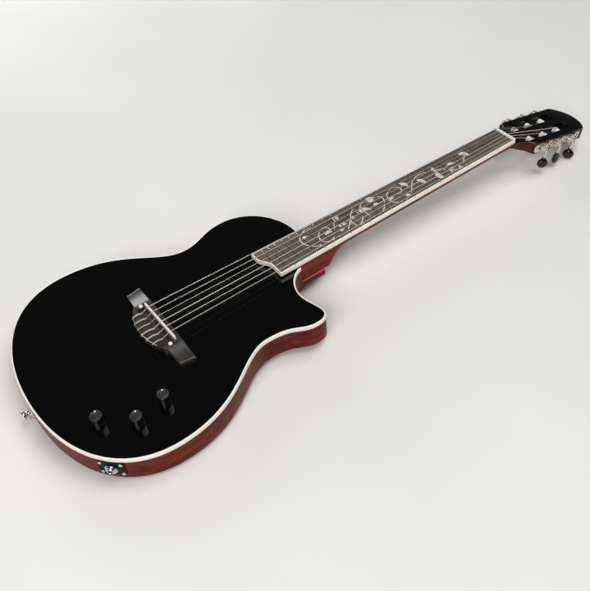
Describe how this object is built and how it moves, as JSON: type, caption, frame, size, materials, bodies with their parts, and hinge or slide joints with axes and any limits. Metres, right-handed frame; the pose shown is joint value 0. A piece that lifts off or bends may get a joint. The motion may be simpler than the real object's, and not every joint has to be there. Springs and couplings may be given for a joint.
{
  "type": "nylon-string guitar",
  "caption": "Thin-bodied nylon-string guitar with a single cutaway, tie-block bridge, tone knobs and a slotted head with worm-gear tuners.",
  "frame": {"origin": "on the flat back of the body, on the centre line, straight below the saddle", "axes": "+X towards the treble strings and the cutaway, +Y along the neck to the head, +Z out of the top"},
  "size_m": [0.3534, 1.0374, 0.0907],
  "materials": {
    "black_plastic": "black plastic, semi-gloss",
    "bone": "white bone substitute, smooth",
    "brass": "cut brass worm wheel",
    "bridge_rosewood": "dark grey-brown rosewood, satin",
    "chrome": "polished chrome",
    "circuit_board": "green circuit board",
    "clear_nylon": "clear nylon, milky by wear",
    "cream_binding": "cream binding, polished",
    "gloss_black_lacquer": "deep black high-gloss lacquer",
    "mahogany": "satin red-brown mahogany, lacquered",
    "nickel_plate": "warm nickel plate",
    "pearl_dot": "white pearloid",
    "pickup_tape": "film pickup strip",
    "rosewood": "dark brown rosewood, oiled",
    "silvered_copper_winding": "silver-plated copper winding",
    "white_roller_plastic": "white plastic string roller",
    "zinc_plated_steel": "zinc-plated steel can"
  },
  "bodies": {
    "guitar": {"bass_pot": "zinc_plated_steel", "battery": "zinc_plated_steel", "battery_box": "black_plastic", "body_binding": "cream_binding", "body_shell": "mahogany", "bridge": "bridge_rosewood", "bridge_dot_bass": "pearl_dot", "bridge_dot_treble": "pearl_dot", "control_cover": "black_plastic", "fingerboard": "rosewood", "fingerboard_binding": "cream_binding", "headplate": "gloss_black_lacquer", "headstock": "mahogany", "jack_plate": "black_plastic", "jack_socket": "chrome", "neck": "mahogany", "nut": "bone", "preamp_board": "circuit_board", "saddle": "bone", "saddle_pickup": "pickup_tape", "strap_button": "chrome", "string_1_high_e": "clear_nylon", "string_2_b": "clear_nylon", "string_3_g": "clear_nylon", "string_4_d": "silvered_copper_winding", "string_5_a": "silvered_copper_winding", "string_6_low_e": "silvered_copper_winding", "top_plate": "gloss_black_lacquer", "treble_pot": "zinc_plated_steel", "tuner_plate_bass": "nickel_plate", "tuner_plate_treble": "nickel_plate", "volume_pot": "zinc_plated_steel"},
    "worm_6": {"tuner_worm_6": "nickel_plate", "tuner_button_6": "black_plastic"},
    "roller_6": {"tuner_roller_6": "white_roller_plastic", "tuner_gear_6": "brass"},
    "worm_5": {"tuner_worm_5": "nickel_plate", "tuner_button_5": "black_plastic"},
    "roller_5": {"tuner_roller_5": "white_roller_plastic", "tuner_gear_5": "brass"},
    "worm_4": {"tuner_worm_4": "nickel_plate", "tuner_button_4": "black_plastic"},
    "roller_4": {"tuner_roller_4": "white_roller_plastic", "tuner_gear_4": "brass"},
    "worm_3": {"tuner_worm_3": "nickel_plate", "tuner_button_3": "black_plastic"},
    "roller_3": {"tuner_roller_3": "white_roller_plastic", "tuner_gear_3": "brass"},
    "worm_2": {"tuner_worm_2": "nickel_plate", "tuner_button_2": "black_plastic"},
    "roller_2": {"tuner_roller_2": "white_roller_plastic", "tuner_gear_2": "brass"},
    "worm_1": {"tuner_worm_1": "nickel_plate", "tuner_button_1": "black_plastic"},
    "roller_1": {"tuner_roller_1": "white_roller_plastic", "tuner_gear_1": "brass"},
    "volume_knob": {"volume_knob": "black_plastic"},
    "bass_knob": {"bass_knob": "black_plastic"},
    "treble_knob": {"treble_knob": "black_plastic"},
    "battery_door": {"battery_door": "black_plastic"}
  },
  "joints": [
    {"name": "tuner_button_turn_6", "type": "hinge", "parent": "guitar", "child": "worm_6", "pos_m": [-0.0453, 0.71377, 0.02242], "axis": [0, 0.1908, 0.9816], "continuous": true},
    {"name": "tuner_roller_turn_6", "type": "hinge", "parent": "guitar", "child": "roller_6", "pos_m": [-0.0169, 0.70405, 0.02431], "axis": [1, 0, 0], "continuous": true},
    {"name": "tuner_button_turn_5", "type": "hinge", "parent": "guitar", "child": "worm_5", "pos_m": [-0.0453, 0.74813, 0.01574], "axis": [0, 0.1908, 0.9816], "continuous": true},
    {"name": "tuner_roller_turn_5", "type": "hinge", "parent": "guitar", "child": "roller_5", "pos_m": [-0.0169, 0.7384, 0.01763], "axis": [1, 0, 0], "continuous": true},
    {"name": "tuner_button_turn_4", "type": "hinge", "parent": "guitar", "child": "worm_4", "pos_m": [-0.0453, 0.78248, 0.00906], "axis": [0, 0.1908, 0.9816], "continuous": true},
    {"name": "tuner_roller_turn_4", "type": "hinge", "parent": "guitar", "child": "roller_4", "pos_m": [-0.0169, 0.77276, 0.01095], "axis": [1, 0, 0], "continuous": true},
    {"name": "tuner_button_turn_3", "type": "hinge", "parent": "guitar", "child": "worm_3", "pos_m": [0.0453, 0.78248, 0.00906], "axis": [0, 0.1908, 0.9816], "continuous": true},
    {"name": "tuner_roller_turn_3", "type": "hinge", "parent": "guitar", "child": "roller_3", "pos_m": [0.0169, 0.77276, 0.01095], "axis": [1, 0, 0], "continuous": true},
    {"name": "tuner_button_turn_2", "type": "hinge", "parent": "guitar", "child": "worm_2", "pos_m": [0.0453, 0.74813, 0.01574], "axis": [0, 0.1908, 0.9816], "continuous": true},
    {"name": "tuner_roller_turn_2", "type": "hinge", "parent": "guitar", "child": "roller_2", "pos_m": [0.0169, 0.7384, 0.01763], "axis": [1, 0, 0], "continuous": true},
    {"name": "tuner_button_turn_1", "type": "hinge", "parent": "guitar", "child": "worm_1", "pos_m": [0.0453, 0.71377, 0.02242], "axis": [0, 0.1908, 0.9816], "continuous": true},
    {"name": "tuner_roller_turn_1", "type": "hinge", "parent": "guitar", "child": "roller_1", "pos_m": [0.0169, 0.70405, 0.02431], "axis": [1, 0, 0], "continuous": true},
    {"name": "volume_knob_turn", "type": "hinge", "parent": "guitar", "child": "volume_knob", "pos_m": [0.0915, -0.1365, 0.05], "axis": [0, 0, 1], "range_deg": [-140, 140]},
    {"name": "bass_knob_turn", "type": "hinge", "parent": "guitar", "child": "bass_knob", "pos_m": [0.1218, -0.0976, 0.05], "axis": [0, 0, 1], "range_deg": [-140, 140]},
    {"name": "treble_knob_turn", "type": "hinge", "parent": "guitar", "child": "treble_knob", "pos_m": [0.1142, -0.0566, 0.05], "axis": [0, 0, 1], "range_deg": [-140, 140]},
    {"name": "battery_door_hinge", "type": "hinge", "parent": "guitar", "child": "battery_door", "pos_m": [0.028, -0.1512, 0.0015], "axis": [-1, 0, 0], "range_deg": [0, 95]}
  ],
  "couplings": [
    {"joint": "tuner_roller_turn_6", "follows": "tuner_button_turn_6", "ratio": -0.071429},
    {"joint": "tuner_roller_turn_5", "follows": "tuner_button_turn_5", "ratio": -0.071429},
    {"joint": "tuner_roller_turn_4", "follows": "tuner_button_turn_4", "ratio": -0.071429},
    {"joint": "tuner_roller_turn_3", "follows": "tuner_button_turn_3", "ratio": -0.071429},
    {"joint": "tuner_roller_turn_2", "follows": "tuner_button_turn_2", "ratio": -0.071429},
    {"joint": "tuner_roller_turn_1", "follows": "tuner_button_turn_1", "ratio": -0.071429}
  ]
}
